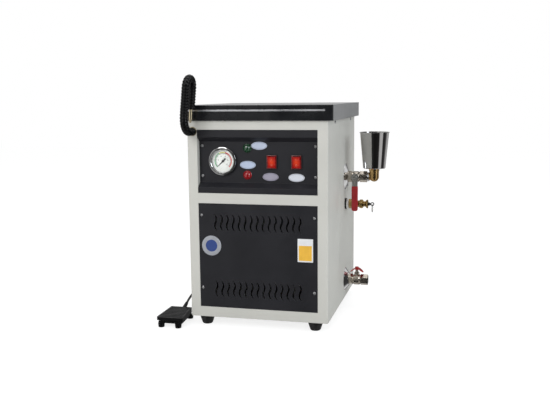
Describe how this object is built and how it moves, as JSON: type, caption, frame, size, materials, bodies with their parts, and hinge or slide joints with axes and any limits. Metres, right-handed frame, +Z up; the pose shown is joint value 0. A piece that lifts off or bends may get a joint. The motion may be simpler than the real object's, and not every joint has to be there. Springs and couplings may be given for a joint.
{
  "type": "jewelry steam cleaner",
  "caption": "Bench steam cleaner for jewellery: steel cabinet with boiler, gauge and rockers, bent steam hose, filler cup, drain valve and foot pedal.",
  "frame": {"origin": "on the floor, at the centre of the cabinet's footprint", "axes": "+Z up, +X to the right as seen from the front, +Y towards the back"},
  "size_m": [0.5569, 0.512, 0.6234],
  "materials": {
    "cabinet_paint": "satin powder coat",
    "lid_paint": "satin powder coat",
    "strip_plastic": "semi-gloss moulding",
    "inlay_metal": "satin",
    "dark_paint": "fine textured satin paint",
    "foot_rubber": "matt",
    "screw_steel": "zinc plated",
    "case_paint": "satin",
    "bezel_chrome": "polished",
    "dial_face": "matt white with a coloured arc and numbers",
    "needle_paint": "matt",
    "gauge_glass": "clear",
    "green_lens": "clear green",
    "red_lens": "clear red",
    "switch_black": "fine grain",
    "rocker_red": "clear red",
    "gland_brass": "nickel plated",
    "hose_plastic": "semi-gloss",
    "pipe_copper": "drawn copper tube",
    "nozzle_brass": "turned, bright",
    "rosette_chrome": "pressed, bright",
    "valve_nickel": "nickel plated brass",
    "lever_steel": "zinc plated",
    "grip_red": "dipped vinyl",
    "grip_red_metal": "red epoxy",
    "elbow_brass": "cast and turned",
    "cup_steel": "spun stainless steel",
    "washer_rubber": "matt, with a pale moulded disc",
    "safety_brass": "turned",
    "stem_black": "satin",
    "ring_steel": "bright wire",
    "boiler_steel": "stainless steel",
    "gland_plastic": "polyamide",
    "pedal_plastic": "fine grain",
    "spring_steel": "spring wire",
    "boot_rubber": "matt",
    "cord_rubber": "matt sheath"
  },
  "bodies": {
    "cabinet": {"front_frame": "cabinet_paint", "left_side_panel": "cabinet_paint", "right_side_panel": "cabinet_paint", "back_panel": "cabinet_paint", "base_plate": "cabinet_paint", "top_lid": "lid_paint", "lid_front_strip": "strip_plastic", "strip_inlay": "inlay_metal", "control_panel": "dark_paint", "lower_panel": "dark_paint", "feet": "foot_rubber", "panel_screws": "screw_steel", "side_screws": "screw_steel", "gauge_case": "case_paint", "gauge_bezel": "bezel_chrome", "gauge_dial": "dial_face", "gauge_glass": "gauge_glass", "green_lamp": "green_lens", "red_lamp": "red_lens", "switch_housings": "switch_black", "hose_gland": "gland_brass", "steam_hose": "hose_plastic", "steam_pipe": "pipe_copper", "steam_nozzle": "nozzle_brass", "fill_rosette": "rosette_chrome", "fill_valve_body": "valve_nickel", "fill_elbow": "elbow_brass", "fill_cup": "cup_steel", "safety_washer": "washer_rubber", "safety_valve_body": "safety_brass", "drain_rosette": "rosette_chrome", "drain_valve_body": "valve_nickel", "boiler": "boiler_steel", "boiler_stand": "boiler_steel", "heater": "boiler_steel", "pressure_switch": "switch_black", "solenoid_body": "safety_brass", "solenoid_coil": "switch_black", "fill_pipe": "pipe_copper", "drain_pipe": "pipe_copper", "gauge_pipe": "pipe_copper", "mains_gland": "gland_plastic", "pedal_gland": "gland_plastic", "pedal_base": "pedal_plastic", "pedal_spring": "spring_steel", "pedal_boot": "boot_rubber", "pedal_cord_run": "cord_rubber", "pedal_cord_coil": "cord_rubber", "pedal_cord_tail": "cord_rubber"},
    "fill_lever": {"fill_stem": "valve_nickel", "fill_lever": "lever_steel", "fill_grip": "grip_red"},
    "drain_handle": {"drain_stem": "valve_nickel", "drain_handle": "grip_red_metal"},
    "safety_stem": {"safety_stem": "stem_black"},
    "safety_ring": {"safety_ring": "ring_steel"},
    "left_rocker": {"left_rocker": "rocker_red"},
    "right_rocker": {"right_rocker": "rocker_red"},
    "gauge_needle": {"gauge_needle": "needle_paint"},
    "pedal_treadle": {"pedal_treadle": "pedal_plastic"}
  },
  "joints": [
    {"name": "fill_lever_turn", "type": "hinge", "parent": "cabinet", "child": "fill_lever", "pos_m": [0.2035, 0.052, 0.355], "axis": [0, -1, 0], "range_deg": [0, 90]},
    {"name": "drain_handle_turn", "type": "hinge", "parent": "cabinet", "child": "drain_handle", "pos_m": [0.2075, 0.052, 0.073], "axis": [0, 0, 1], "range_deg": [0, 90]},
    {"name": "safety_stem_pull", "type": "slide", "parent": "cabinet", "child": "safety_stem", "axis": [1, 0, 0], "range_m": [0, 0.003], "stiffness_N_per_m": 2000, "springref_m": -0.002},
    {"name": "safety_ring_swing", "type": "hinge", "parent": "safety_stem", "child": "safety_ring", "pos_m": [0.248, 0.052, 0.2815], "axis": [0, -1, 0], "range_deg": [-30, 90]},
    {"name": "left_rocker_tip", "type": "hinge", "parent": "cabinet", "child": "left_rocker", "pos_m": [0.0345, -0.195, 0.4134], "axis": [1, 0, 0], "range_deg": [-18, 0]},
    {"name": "right_rocker_tip", "type": "hinge", "parent": "cabinet", "child": "right_rocker", "pos_m": [0.0955, -0.195, 0.4134], "axis": [1, 0, 0], "range_deg": [-18, 0]},
    {"name": "gauge_needle_turn", "type": "hinge", "parent": "cabinet", "child": "gauge_needle", "pos_m": [-0.089, -0.194, 0.4144], "axis": [0, 1, 0], "range_deg": [0, 270], "stiffness_Nm_per_rad": 0.0005, "springref_deg": -17.19},
    {"name": "treadle_press", "type": "hinge", "parent": "cabinet", "child": "pedal_treadle", "pos_m": [-0.22, -0.172, 0.0205], "axis": [1, 0, 0], "range_deg": [0, 4.5], "stiffness_Nm_per_rad": 1, "springref_deg": -11.46, "deforming": ["pedal_spring"]}
  ]
}
